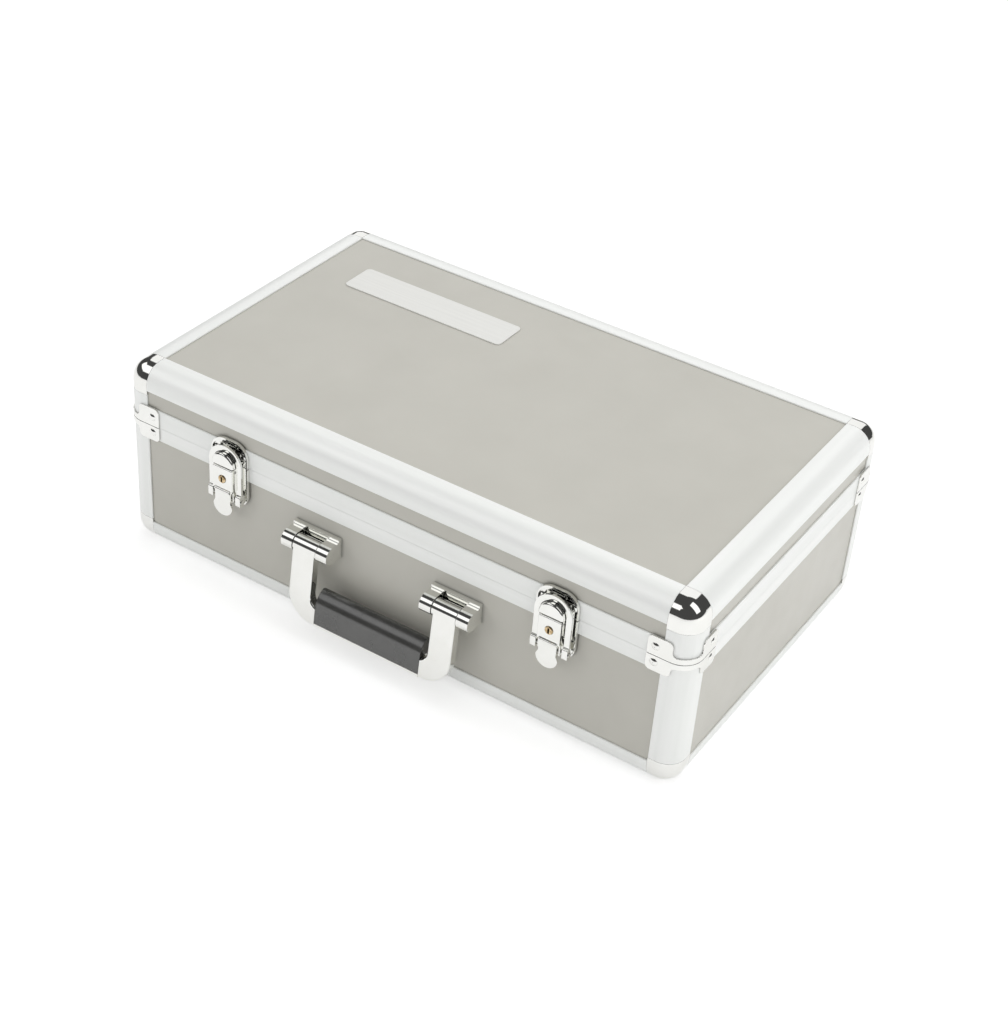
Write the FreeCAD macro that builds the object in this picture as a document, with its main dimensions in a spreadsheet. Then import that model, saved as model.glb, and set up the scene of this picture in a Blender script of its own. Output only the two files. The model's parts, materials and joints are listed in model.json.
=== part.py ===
import FreeCAD, Part
import math
import os
import Sketcher

document = FreeCAD.newDocument("pedal_case")
sheet = document.addObject("Spreadsheet::Sheet", "sizes")


class Size:
    """A length of the sheet, or one worked out from such lengths, with its expression."""

    def __init__(self, value, text):
        self.value = value
        self.text = text

    def __add__(self, other):
        if is_zero(other):
            return self
        return Size(self.value + number(other), f"({self.text} + {words(other)})")

    __radd__ = __add__

    def __sub__(self, other):
        if is_zero(other):
            return self
        return Size(self.value - number(other), f"({self.text} - {words(other)})")

    def __rsub__(self, other):
        if is_zero(other):
            return -self
        return Size(number(other) - self.value, f"({words(other)} - {self.text})")

    def __neg__(self):
        return Size(-self.value, f"(0 - {self.text})")

    def __mul__(self, other):
        return Size(self.value * number(other), f"({self.text} * {words(other)})")

    __rmul__ = __mul__

    def __truediv__(self, other):
        return Size(self.value / number(other), f"({self.text} / {words(other)})")


def number(amount):
    return amount.value if isinstance(amount, Size) else amount


def words(amount):
    return amount.text if isinstance(amount, Size) else str(amount)


def is_zero(amount):
    return not isinstance(amount, Size) and amount == 0


def size(alias, value):
    """Writes one driving dimension into the sheet, in millimetres or degrees."""
    row = len(size.rows) + 1
    size.rows.append(alias)
    sheet.set(f"A{row}", alias)
    sheet.set(f"B{row}", str(value))
    sheet.setAlias(f"B{row}", alias)
    return Size(value, f"sizes.{alias}")


size.rows = []

# The case as a whole: X runs along it, the front faces -Y, and Z = 0 is the face it rests on
case_length = size("case_length", 480)
case_width = size("case_width", 284)
case_height = size("case_height", 156)
lid_height = size("lid_height", 46.3)
seam_gap = size("seam_gap", 0.15)
fit_gap = size("fit_gap", 0.1)
cut_overrun = size("cut_overrun", 2)

# Aluminium profiles and the panels in their slots
profile_skin = size("profile_skin", 1.2)
panel_thickness = size("panel_thickness", 4)
panel_clearance = size("panel_clearance", 0.05)
corner_round = size("corner_round", 15)
slot_start = size("slot_start", 12.5)
profile_flange = size("profile_flange", 21.2)
edge_side_flange = size("edge_side_flange", 18.8)
flange_chamfer = size("flange_chamfer", 0.4)
cap_height = size("cap_height", 21.9)

# Closing frames, with a tongue on the lid that drops into a groove in the base
base_band = size("base_band", 12)
base_head = size("base_head", 8)
lid_band = size("lid_band", 14.7)
lid_head = size("lid_head", 11)
tongue_inset = size("tongue_inset", 2.9)
tongue_thickness = size("tongue_thickness", 1)
tongue_depth = size("tongue_depth", 2)
groove_clearance = size("groove_clearance", 0.5)
groove_floor_gap = size("groove_floor_gap", 0.5)

# Corner braces, each a strap round the corner with an ear on both faces
brace_sheet = size("brace_sheet", 1)
brace_reach = size("brace_reach", 32.4)
brace_gap = size("brace_gap", 0.15)
ear_width = size("ear_width", 18.6)
lid_ear_height = size("lid_ear_height", 15.2)
base_ear_height = size("base_ear_height", 12.4)
strap_height = size("strap_height", 4.3)
ear_round = size("ear_round", 3.6)
brace_rivet_inset = size("brace_rivet_inset", 6)
brace_rivet_rise = size("brace_rivet_rise", 7.6)
brace_rivet_drop = size("brace_rivet_drop", 5.6)

# Rivets
rivet_radius = size("rivet_radius", 1.3)
rivet_clearance = size("rivet_clearance", 0.1)
rivet_grip = size("rivet_grip", 3.6)
rivet_head_radius = size("rivet_head_radius", 3)
rivet_head_height = size("rivet_head_height", 1.2)

# Foam inside
foam_gap = size("foam_gap", 0.3)
floor_pad_thickness = size("floor_pad_thickness", 10)
lining_thickness = size("lining_thickness", 6)
lining_below_rim = size("lining_below_rim", 2)
lid_pad_thickness = size("lid_pad_thickness", 20)

# Badge plate on the lid
badge_length = size("badge_length", 146)
badge_width = size("badge_width", 33)
badge_thickness = size("badge_thickness", 0.8)
badge_round = size("badge_round", 4)
badge_from_left = size("badge_from_left", 55.2)
badge_from_back = size("badge_from_back", 58)

# Rear hinges
hinge_offset = size("hinge_offset", 140)
hinge_width = size("hinge_width", 50)
hinge_sheet = size("hinge_sheet", 1.2)
hinge_standoff = size("hinge_standoff", 4.2)
hinge_barrel_radius = size("hinge_barrel_radius", 3.2)
hinge_pin_radius = size("hinge_pin_radius", 1.5)
hinge_pin_head = size("hinge_pin_head", 1)
hinge_leaf_gap = size("hinge_leaf_gap", 0.4)
hinge_knuckle_gap = size("hinge_knuckle_gap", 0.3)
hinge_leaf_drop = size("hinge_leaf_drop", 11.4)
hinge_leaf_rise = size("hinge_leaf_rise", 14)
hinge_rivet_pitch = size("hinge_rivet_pitch", 16)
running_fit = size("running_fit", 0.06)

# Handle: two brackets, their pins and the swinging bail with its rubber grip
bracket_offset = size("bracket_offset", 60.2)
bracket_width = size("bracket_width", 40.4)
bracket_cheek = size("bracket_cheek", 9.7)
bracket_plate = size("bracket_plate", 4.2)
bracket_rise = size("bracket_rise", 9.5)
bracket_drop = size("bracket_drop", 7.5)
bracket_step = size("bracket_step", 0.6)
bracket_tail = size("bracket_tail", 0.4)
pivot_reach = size("pivot_reach", 10.6)
pivot_drop = size("pivot_drop", 33.7)
knuckle_radius = size("knuckle_radius", 7.2)
handle_pin_radius = size("handle_pin_radius", 2.2)
arm_knuckle_radius = size("arm_knuckle_radius", 6.7)
arm_side_gap = size("arm_side_gap", 0.5)
arm_face = size("arm_face", 6.65)
arm_thickness = size("arm_thickness", 7)
arm_inner_waist = size("arm_inner_waist", 51.2)
arm_outer_edge = size("arm_outer_edge", 70.4)
arm_elbow_round = size("arm_elbow_round", 21.6)
arm_toe = size("arm_toe", 46)
arm_toe_round = size("arm_toe_round", 7.6)
arm_front_round = size("arm_front_round", 1.4)
arm_shoulder_drop = size("arm_shoulder_drop", 36.3)
arm_toe_drop = size("arm_toe_drop", 43.5)
handle_drop = size("handle_drop", 59)
handle_tilt = size("handle_tilt", 6.3)
bar_strip = size("bar_strip", 2.4)
bar_core_depth = size("bar_core_depth", 5)
bar_core_height = size("bar_core_height", 14)
bar_core_back = size("bar_core_back", 3.25)
grip_back = size("grip_back", 7.45)
grip_crest_back = size("grip_crest_back", 1.45)
grip_crest_drop = size("grip_crest_drop", 30)
grip_face_drop = size("grip_face_drop", 42.7)
grip_front_round = size("grip_front_round", 13)
grip_back_round = size("grip_back_round", 6.4)
grip_back_drop = size("grip_back_drop", 37.3)
grip_heel = size("grip_heel", 3)
grip_end_gap = size("grip_end_gap", 0.3)
bolt_radius = size("bolt_radius", 2)
bolt_offset = size("bolt_offset", 15)
bolt_drop = size("bolt_drop", 3.6)
bolt_reach = size("bolt_reach", 7)
bolt_head_radius = size("bolt_head_radius", 3.6)
bolt_head_height = size("bolt_head_height", 1.1)

# Latches: a dished base plate and strike, a lever, the hasp that hooks the strike, and a lock
latch_offset = size("latch_offset", 139.7)
latch_half_width = size("latch_half_width", 16.4)
latch_sheet = size("latch_sheet", 1)
latch_rim = size("latch_rim", 2.4)
latch_rim_wall = size("latch_rim_wall", 1.1)
plate_drop = size("plate_drop", 34.7)
plate_round = size("plate_round", 10)
strike_rise = size("strike_rise", 19.2)
strike_round = size("strike_round", 12)
strike_hollow_round = size("strike_hollow_round", 8)
strike_land = size("strike_land", 3.4)
strike_slot_half = size("strike_slot_half", 5.8)
strike_slot_radius = size("strike_slot_radius", 0.85)
strike_slot_drop = size("strike_slot_drop", 2.7)
tongue_half_width = size("tongue_half_width", 4)
strike_tongue_rise = size("strike_tongue_rise", 9.9)
strike_tongue_lip = size("strike_tongue_lip", 3.8)
strike_rivet_offset = size("strike_rivet_offset", 11.9)
strike_rivet_rise = size("strike_rivet_rise", 8.2)
latch_sheet_gap = size("latch_sheet_gap", 0.3)
ear_inner = size("ear_inner", 6.2)
ear_sheet = size("ear_sheet", 1.2)
ear_drop = size("ear_drop", 14.7)
ear_pin_wall = size("ear_pin_wall", 2)
lever_pivot_drop = size("lever_pivot_drop", 2.9)
bail_pivot_drop = size("bail_pivot_drop", 24.3)
latch_pivot_reach = size("latch_pivot_reach", 6.6)
latch_pin_radius = size("latch_pin_radius", 1.2)
lever_half_width = size("lever_half_width", 8.8)
lever_sheet = size("lever_sheet", 1.4)
lever_face = size("lever_face", 10.6)
lever_top_gap = size("lever_top_gap", 0.2)
lever_face_height = size("lever_face_height", 19.7)
lever_bead = size("lever_bead", 1.3)
lever_top_round = size("lever_top_round", 1.1)
lever_flange = size("lever_flange", 1.1)
lever_flange_back = size("lever_flange_back", 3.9)
lever_flange_drop = size("lever_flange_drop", 2.3)
lever_flange_round = size("lever_flange_round", 2.4)
lever_flange_relief = size("lever_flange_relief", 2)
tab_neck = size("tab_neck", 7)
tab_waist = size("tab_waist", 6.9)
tab_waist_rise = size("tab_waist_rise", 3.6)
tab_round = size("tab_round", 8.6)
tab_length = size("tab_length", 22.1)
hasp_half_width = size("hasp_half_width", 14.7)
hasp_strip = size("hasp_strip", 4.3)
hasp_sheet = size("hasp_sheet", 1.8)
hasp_back = size("hasp_back", 5.4)
hasp_rise = size("hasp_rise", 16.5)
hasp_web = size("hasp_web", 0.8)
hasp_foot_half = size("hasp_foot_half", 2.4)
hasp_foot_rise = size("hasp_foot_rise", 5.5)
hasp_foot_drop = size("hasp_foot_drop", 3.9)
hasp_foot_round = size("hasp_foot_round", 1.6)
dome_rise = size("dome_rise", 1.5)
dome_radius = size("dome_radius", 9.9)
dome_face = size("dome_face", 10.8)
dome_round = size("dome_round", 1.6)
pin_head_radius = size("pin_head_radius", 1.8)
pin_head_height = size("pin_head_height", 0.5)
lock_rise = size("lock_rise", 9.8)
lock_radius = size("lock_radius", 3.2)
lock_round = size("lock_round", 0.7)
lock_face = size("lock_face", 11.5)
lock_back = size("lock_back", 4.9)
lock_sleeve_wall = size("lock_sleeve_wall", 1.1)
keyway_width = size("keyway_width", 1.4)
keyway_height = size("keyway_height", 4.4)
keyway_depth = size("keyway_depth", 4.5)
cam_half_width = size("cam_half_width", 1.6)
cam_length = size("cam_length", 7.3)
cam_thickness = size("cam_thickness", 1)
cam_clearance = size("cam_clearance", 0.4)
lower_rivet_rise = size("lower_rivet_rise", 4.5)
upper_rivet_rise = size("upper_rivet_rise", 15)

document.recompute()

# Lengths worked out from the driving ones
half_length = case_length / 2
half_width = case_width / 2
parting_height = case_height - lid_height
slot_width = panel_thickness + 2 * panel_clearance
profile_wall = profile_skin + slot_width + profile_skin
panel_inset = profile_skin + panel_clearance
panel_edge = slot_start + panel_clearance
base_rim = parting_height - seam_gap / 2
lid_rim = parting_height + seam_gap / 2
run_end = profile_flange + fit_gap

# Heights of the handle and the latches, which keep their places from the parting line
pivot_height = parting_height - pivot_drop
bracket_top = pivot_height + bracket_rise
bracket_bottom = pivot_height - bracket_drop
plate_bottom = parting_height - plate_drop
plate_rivet_low = plate_bottom + lower_rivet_rise
plate_rivet_high = plate_bottom + upper_rivet_rise
strike_top = parting_height + strike_rise
strike_tongue_height = parting_height + strike_tongue_rise
strike_rivet_height = parting_height + strike_rivet_rise
ear_bottom = parting_height - ear_drop
lever_pivot_height = parting_height - lever_pivot_drop
bail_pivot_height = lever_pivot_height - bail_pivot_drop
lever_top = parting_height - lever_top_gap
lever_fold = lever_top - lever_face_height
lever_flange_bottom = bail_pivot_height - lever_flange_drop
tab_bottom = lever_fold - tab_length
tab_waist_height = tab_bottom + tab_round + tab_waist_rise
lock_height = lever_fold + lock_rise
hasp_top = parting_height + hasp_rise
dome_bottom = parting_height + dome_rise

X_AXIS = FreeCAD.Vector(1, 0, 0)
Y_AXIS = FreeCAD.Vector(0, 1, 0)
Z_AXIS = FreeCAD.Vector(0, 0, 1)
HINGE_KNUCKLES = 5
TOUCH = 1e-4


def bind(item, name, amount):
    """Ties a property to its lengths. Zero is every such property's own start value."""
    if isinstance(amount, Size):
        item.setExpression(name, amount.text)


def put(item, place, turn=None):
    """Places an object at three lengths, turned as given."""
    if turn:
        item.Placement = FreeCAD.Placement(FreeCAD.Vector(), turn)
    for axis, amount in zip("xyz", place):
        bind(item, f".Placement.Base.{axis}", amount)
    return item


def box(name, low, high):
    item = document.addObject("Part::Box", name)
    for side, start, end in zip(("Length", "Width", "Height"), low, high):
        bind(item, side, end - start)
    return put(item, low)


def rod(name, radius, axis, start, length):
    """A round bar that runs from start along one of the axes."""
    item = document.addObject("Part::Cylinder", name)
    bind(item, "Radius", radius)
    bind(item, "Height", length)
    return put(item, start, FreeCAD.Rotation(Z_AXIS, axis))


def cut(name, base, *tools):
    item = document.addObject("Part::Cut", name)
    item.Base = base
    item.Tool = tools[0] if len(tools) == 1 else group(name + "_tools", *tools)
    return item


def fuse(name, *pieces):
    item = document.addObject("Part::MultiFuse", name)
    item.Shapes = list(pieces)
    item.Refine = True
    return item


def group(name, *pieces):
    """Separate solids that share one object."""
    item = document.addObject("Part::Compound", name)
    item.Links = list(pieces)
    return item


def mirrored(name, source, normal):
    item = document.addObject("Part::Mirroring", name)
    item.Source = source
    item.Normal = normal
    return item


def both_sides(name, piece):
    return group(name, piece, mirrored(name + "_other_side", piece, X_AXIS))


def four_corners(name, piece):
    pair = both_sides(name + "_pair", piece)
    return group(name, pair, mirrored(name + "_other_pair", pair, Y_AXIS))


def plane_of(body, role):
    return next(plane for plane in body.Origin.OriginFeatures if plane.Role == role)


def arc_centre(start, end, radius):
    """Centre of the arc from start to end, which turns left where the radius is positive."""
    chord = end - start
    height = math.sqrt(max(radius * radius - chord.Length ** 2 / 4, 0))
    left = FreeCAD.Vector(-chord.y, chord.x, 0).normalize()
    return start + chord / 2 + left * math.copysign(height, radius)


def place_point(sketch, item, end, corner):
    """Holds one end of a sketch line at its two lengths from the sketch's origin."""
    for kind, amount, own_axis in (("DistanceX", corner[0], -2), ("DistanceY", corner[1], -1)):
        if number(amount) == 0:
            sketch.addConstraint(Sketcher.Constraint("PointOnObject", item, end, own_axis))
        else:
            index = sketch.addConstraint(Sketcher.Constraint(kind, -1, 1, item, end, number(amount)))
            sketch.setExpression(f"Constraints[{index}]", words(amount))


def draw(body, name, role, corners):
    """Draws a closed outline. A corner is (x, y), or (x, y, radius) where an arc leads to it."""
    sketch = body.newObject("Sketcher::SketchObject", name)
    sketch.AttachmentSupport = [(plane_of(body, role), "")]
    sketch.MapMode = "FlatFace"
    points = [FreeCAD.Vector(number(corner[0]), number(corner[1]), 0) for corner in corners]
    ends = []
    for index, corner in enumerate(corners):
        start, end = points[index - 1], points[index]
        if len(corner) == 2:
            ends.append((sketch.addGeometry(Part.LineSegment(start, end), False), 1, 2))
            continue
        radius = number(corner[2])
        centre = arc_centre(start, end, radius)
        circle = Part.Circle(centre, Z_AXIS, abs(radius))
        if radius > 0:
            arc = Part.ArcOfCircle(circle, circle.parameter(start), circle.parameter(end))
            item = sketch.addGeometry(arc, False)
            ends.append((item, 1, 2))
        else:
            arc = Part.ArcOfCircle(circle, circle.parameter(end), circle.parameter(start))
            item = sketch.addGeometry(arc, False)
            ends.append((item, 2, 1))
    for index, corner in enumerate(corners):
        item, first, last = ends[index]
        before, _, before_last = ends[index - 1]
        sketch.addConstraint(Sketcher.Constraint("Coincident", before, before_last, item, first))
        place_point(sketch, item, last, corner)
        if len(corner) == 3:
            radius = corner[2] if number(corner[2]) > 0 else -corner[2]
            held = sketch.addConstraint(Sketcher.Constraint("Radius", item, number(radius)))
            sketch.setExpression(f"Constraints[{held}]", words(radius))
    return sketch


def pad(name, role, corners, length):
    """A body that is one outline of its own plane, raised by one length."""
    body = document.addObject("PartDesign::Body", name)
    raised = body.newObject("PartDesign::Pad", name + "_pad")
    raised.Profile = draw(body, name + "_outline", role, corners)
    bind(raised, "Length", length)
    body.Tip = raised
    return body


def edges_where(shape, test):
    return [index + 1 for index, edge in enumerate(shape.Edges) if test(edge)]


def round_body(body, name, radius, test):
    """Rounds the edges of a body that the test picks."""
    document.recompute()
    last = body.Tip
    fillet = body.newObject("PartDesign::Fillet", name)
    fillet.Base = (last, [f"Edge{index}" for index in edges_where(last.Shape, test)])
    bind(fillet, "Radius", radius)
    body.Tip = fillet
    return body


def round_edges(name, source, radius, test):
    """Rounds the edges of any other object that the test picks."""
    document.recompute()
    item = document.addObject("Part::Fillet", name)
    item.Base = source
    item.Edges = [(index, number(radius), number(radius)) for index in edges_where(source.Shape, test)]
    return item


def middle(edge):
    return edge.valueAt((edge.FirstParameter + edge.LastParameter) / 2)


def near(value, amount):
    return abs(value - number(amount)) < TOUCH


def along(edge, axis):
    """Tells whether a straight edge runs along an axis."""
    if edge.Curve.TypeId != "Part::GeomLine":
        return False
    way = edge.Vertexes[-1].Point - edge.Vertexes[0].Point
    return way.cross(axis).Length < TOUCH


def finish(label, item):
    """Names an object as one of the sub-parts that are written out."""
    item.Label = label
    finish.items[label] = item
    return item


finish.items = {}


def edge_section(flat, side):
    """Section of a corner profile: x runs in from its side face, y in from its other face."""
    return [
        (flat, profile_skin), (flat, flange_chamfer), (flat - flange_chamfer, 0),
        (corner_round, 0), (0, corner_round, -corner_round),
        (0, side - flange_chamfer), (flange_chamfer, side), (profile_skin, side),
        (profile_skin, slot_start), (profile_skin + slot_width, slot_start),
        (profile_skin + slot_width, side), (profile_wall, side), (profile_wall, profile_wall),
        (flat, profile_wall), (flat, profile_skin + slot_width),
        (slot_start, profile_skin + slot_width), (slot_start, profile_skin),
    ]


def profile(name, section, length, start, inward, up):
    """A length of profile from start, with the section's x along inward and its y along up."""
    body = pad(name, "XY_Plane", section, length)
    return put(body, start, FreeCAD.Rotation(inward, up, inward.cross(up), "ZXY"))


def edge_profiles():
    """The rounded profiles along the four bottom edges and the four top edges."""
    section = edge_section(profile_flange, edge_side_flange)
    long_run = case_length - 2 * run_end
    short_run = case_width - 2 * run_end
    long_start = half_length - run_end
    short_start = half_width - run_end
    for half, level, up in (("base", 0, Z_AXIS), ("lid", case_height, -Z_AXIS)):
        # The pad runs along inward x up, so each run starts at the end that this points away from
        sign = 1 if half == "base" else -1
        runs = (
            ("front", Y_AXIS, long_run, (-sign * long_start, -half_width, level)),
            ("back", -Y_AXIS, long_run, (sign * long_start, half_width, level)),
            ("left", X_AXIS, short_run, (-half_length, sign * short_start, level)),
            ("right", -X_AXIS, short_run, (half_length, -sign * short_start, level)),
        )
        for side, inward, length, start in runs:
            finish(f"{half}_edge_{side}", profile(f"{half}_edge_{side}", section, length, start, inward, up))


def frame_section_base():
    """Section of the base's closing frame, with y measured up from the floor."""
    low = parting_height - base_band
    head = base_rim - base_head
    groove_low = base_rim - tongue_depth - groove_floor_gap + seam_gap
    groove_in = tongue_inset - groove_clearance
    groove_out = tongue_inset + tongue_thickness + groove_clearance
    return [
        (profile_skin, low), (profile_skin, head), (profile_skin + slot_width, head),
        (profile_skin + slot_width, low), (profile_wall, low), (profile_wall, base_rim),
        (groove_out, base_rim), (groove_out, groove_low), (groove_in, groove_low), (groove_in, base_rim),
        (0, base_rim), (0, low + flange_chamfer), (flange_chamfer, low),
    ]


def frame_section_lid():
    """Section of the lid's closing frame, whose tongue hangs below the parting line."""
    high = parting_height + lid_band
    head = lid_rim + lid_head
    tongue_low = lid_rim - tongue_depth
    tongue_out = tongue_inset + tongue_thickness
    return [
        (profile_skin, high), (flange_chamfer, high), (0, high - flange_chamfer), (0, lid_rim),
        (tongue_inset, lid_rim), (tongue_inset, tongue_low), (tongue_out, tongue_low), (tongue_out, lid_rim),
        (profile_wall, lid_rim), (profile_wall, high), (profile_skin + slot_width, high),
        (profile_skin + slot_width, head), (profile_skin, head),
    ]


def closing_frames():
    """The bands on both sides of the parting line, drilled for what is riveted to them."""
    long_start = half_length - run_end
    short_start = half_width - run_end
    runs = (
        ("front", Y_AXIS, case_length - 2 * run_end, (-long_start, -half_width, 0)),
        ("back", -Y_AXIS, case_length - 2 * run_end, (long_start, half_width, 0)),
        ("left", X_AXIS, case_width - 2 * run_end, (-half_length, short_start, 0)),
        ("right", -X_AXIS, case_width - 2 * run_end, (half_length, -short_start, 0)),
    )
    for half, section in (("base", frame_section_base()), ("lid", frame_section_lid())):
        for side, inward, length, start in runs:
            name = f"{half}_frame_{side}"
            bar = profile(name + "_bar", section, length, start, inward, Z_AXIS)
            finish(name, cut(name, bar, *hole_tools(name, rivet_spots(half, side))))


def corner_posts():
    """The upright corner profiles of the base and the lid."""
    section = edge_section(profile_flange, profile_flange)
    base_start = cap_height + fit_gap
    post = profile("base_post", section, base_rim - base_start, (-half_length, -half_width, base_start),
                   X_AXIS, Y_AXIS)
    finish("base_corner_posts", four_corners("base_corner_posts", post))
    lid_length = case_height - cap_height - fit_gap - lid_rim
    post = profile("lid_post", section, lid_length, (-half_length, -half_width, lid_rim), X_AXIS, Y_AXIS)
    finish("lid_corner_posts", four_corners("lid_corner_posts", post))


def cap_body():
    """One corner cap: a block with three rounded edges that meet in a ball, open to the inside."""
    outline = [(profile_flange, 0), (profile_flange, profile_flange), (0, profile_flange), (0, 0)]
    block = pad("cap_block", "XY_Plane", outline, cap_height)
    round_body(block, "cap_ball", corner_round, lambda edge: sum(
        near(value, 0) for value in middle(edge)) == 2)
    far = profile_flange + cut_overrun
    high = cap_height + cut_overrun
    slot_end = profile_skin + slot_width
    inside = box("cap_inside", (profile_wall, profile_wall, profile_wall), (far, far, high))
    front = box("cap_front_slot", (slot_start, profile_skin, slot_start), (far, slot_end, high))
    side = box("cap_side_slot", (profile_skin, slot_start, slot_start), (slot_end, far, high))
    flat = box("cap_flat_slot", (slot_start, slot_start, profile_skin), (far, far, slot_end))
    return cut("cap_cut", block, inside, front, side, flat)


def corner_caps():
    """The ball corners, upright on the base and upside down on the lid."""
    cap = cap_body()
    cap_place = put(group("base_cap_place", cap), (-half_length, -half_width, 0))
    finish("base_corner_caps", four_corners("base_corner_caps", cap_place))
    flipped = mirrored("lid_cap_flip", cap, Z_AXIS)
    lid_place = put(group("lid_cap_place", flipped), (-half_length, -half_width, case_height))
    finish("lid_corner_caps", four_corners("lid_corner_caps", lid_place))


def panels():
    """The laminated boards. They stand in the slots of the profiles round them."""
    deep = panel_inset + panel_thickness
    long_end = half_length - panel_edge
    short_end = half_width - panel_edge
    base_top = base_rim - base_head - panel_clearance
    lid_low = lid_rim + lid_head + panel_clearance
    lid_top = case_height - panel_edge
    finish("base_bottom_panel", box("base_bottom_panel", (-long_end, -short_end, panel_inset),
                                    (long_end, short_end, deep)))
    finish("lid_top_panel", box("lid_top_panel", (-long_end, -short_end, case_height - deep),
                                (long_end, short_end, case_height - panel_inset)))
    for half, low, high in (("base", panel_edge, base_top), ("lid", lid_low, lid_top)):
        front = box(f"{half}_front_board", (-long_end, -half_width + panel_inset, low),
                    (long_end, -half_width + deep, high))
        if half == "base":
            front = cut("base_front_drilled", front, *front_holes())
        finish(f"{half}_front_panel", front)
        back = box(f"{half}_back_panel", (-long_end, half_width - deep, low),
                   (long_end, half_width - panel_inset, high))
        finish(f"{half}_back_panel", back)
        left = box(f"{half}_left_panel", (-half_length + panel_inset, -short_end, low),
                   (-half_length + deep, short_end, high))
        finish(f"{half}_left_panel", left)
        right = box(f"{half}_right_panel", (half_length - deep, -short_end, low),
                    (half_length - panel_inset, short_end, high))
        finish(f"{half}_right_panel", right)


def brace(name, low, high, window_low, window_high, seam):
    """A front left corner brace from low to high, cut away round the corner beside its strap."""
    inner, outer = fit_gap, fit_gap + brace_sheet
    ring = pad(name + "_sheet", "XY_Plane", [
        (brace_reach, -outer), (brace_reach, -inner), (corner_round, -inner),
        (-inner, corner_round, -(corner_round + inner)), (-inner, brace_reach), (-outer, brace_reach),
        (-outer, corner_round), (corner_round, -outer, corner_round + outer),
    ], high - low)
    put(ring, (-half_length, -half_width, low))
    reach = brace_reach - ear_width
    window = box(name + "_window", (-half_length - cut_overrun, -half_width - cut_overrun, window_low),
                 (-half_length + reach, -half_width + reach, window_high))
    shaped = cut(name + "_shape", ring, window)

    def is_ear_corner(edge):
        through_sheet = along(edge, X_AXIS) or along(edge, Y_AXIS)
        return through_sheet and edge.Length < 2 * number(brace_sheet) and not near(middle(edge).z, seam)

    return round_edges(name + "_rounded", shaped, ear_round, is_ear_corner)


def brace_rivet_spots(half):
    """Places of a front left corner brace's two rivets, each with the way it points."""
    level = parting_height + brace_rivet_rise if half == "lid" else parting_height - brace_rivet_drop
    inset = brace_reach - brace_rivet_inset
    surface = fit_gap + brace_sheet
    return [
        ((-half_length + inset, -half_width, level), Y_AXIS, surface),
        ((-half_length, -half_width + inset, level), X_AXIS, surface),
    ]


def hinge_rivet_spots(half):
    """Places of the left hinge's rivets on the back."""
    level = parting_height + brace_rivet_rise if half == "lid" else parting_height - brace_rivet_drop
    return [
        ((-hinge_offset + step * hinge_rivet_pitch, half_width, level), -Y_AXIS, fit_gap + hinge_sheet)
        for step in (-1, 0, 1)
    ]


def strike_rivet_spots():
    """Places of the left strike's rivets in the lid's front frame."""
    return [
        ((-latch_offset + step * strike_rivet_offset, -half_width, strike_rivet_height), Y_AXIS, latch_sheet)
        for step in (-1, 1)
    ]


def flip_spot(spot, axis):
    """The same place mirrored across the middle of the case."""
    place, way, surface = spot
    x, y, z = place
    if axis == "x":
        turned = -way if abs(way.x) > TOUCH else way
        return (-x, y, z), turned, surface
    turned = -way if abs(way.y) > TOUCH else way
    return (x, -y, z), turned, surface


def rivet_spots(half, side):
    """Every rivet place in one closing frame."""
    front_left, left_front = brace_rivet_spots(half)
    if side in ("front", "back"):
        spots = [front_left] + (strike_rivet_spots() if half == "lid" and side == "front" else [])
        if side == "back":
            spots = [flip_spot(front_left, "y")] + hinge_rivet_spots(half)
        return spots + [flip_spot(spot, "x") for spot in spots]
    spots = [left_front, flip_spot(left_front, "y")]
    return spots if side == "left" else [flip_spot(spot, "x") for spot in spots]


def hole_tool(name, spot):
    """A hole for one rivet, from outside its sheet to just past the shank's end."""
    place, way, surface = spot
    start = [amount - int(way[axis]) * (surface + cut_overrun) for axis, amount in enumerate(place)]
    return rod(name, rivet_radius + rivet_clearance, way, start, surface + cut_overrun + rivet_grip + fit_gap)


def hole_tools(name, spots):
    return [hole_tool(f"{name}_hole_{index}", spot) for index, spot in enumerate(spots)]


def rivet(name, spot, grip=rivet_grip):
    """A rivet whose shank ends at the given depth behind the frame's face."""
    place, way, surface = spot
    start = [amount - int(way[axis]) * surface for axis, amount in enumerate(place)]
    shank = rod(name + "_shank", rivet_radius, way, start, surface + grip)
    ball_radius = (rivet_head_radius * rivet_head_radius + rivet_head_height * rivet_head_height) / (
        2 * rivet_head_height)
    head = document.addObject("Part::Sphere", name + "_head")
    bind(head, "Radius", ball_radius)
    head.setExpression("Angle1", f"asin(({ball_radius.text} - {rivet_head_height.text}) / {ball_radius.text})")
    sink = ball_radius - rivet_head_height
    centre = [amount + int(way[axis]) * sink for axis, amount in enumerate(start)]
    put(head, centre, FreeCAD.Rotation(Z_AXIS, -way))
    return fuse(name, head, shank)


def rivet_row(name, spots, grip=rivet_grip):
    return [rivet(f"{name}_rivet_{index}", spot, grip) for index, spot in enumerate(spots)]


def corner_braces():
    for half in ("lid", "base"):
        name = f"{half}_brace"
        if half == "lid":
            seam = lid_rim + brace_gap
            high = seam + lid_ear_height
            shaped = brace(name, seam, high, seam + strap_height, high + cut_overrun, seam)
        else:
            seam = base_rim - brace_gap
            low = seam - base_ear_height
            shaped = brace(name, low, seam, low - cut_overrun, seam - strap_height, seam)
        drilled = cut(name, shaped, *hole_tools(name, brace_rivet_spots(half)))
        finish(f"{half}_corner_braces", four_corners(f"{half}_corner_braces", drilled))


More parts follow.
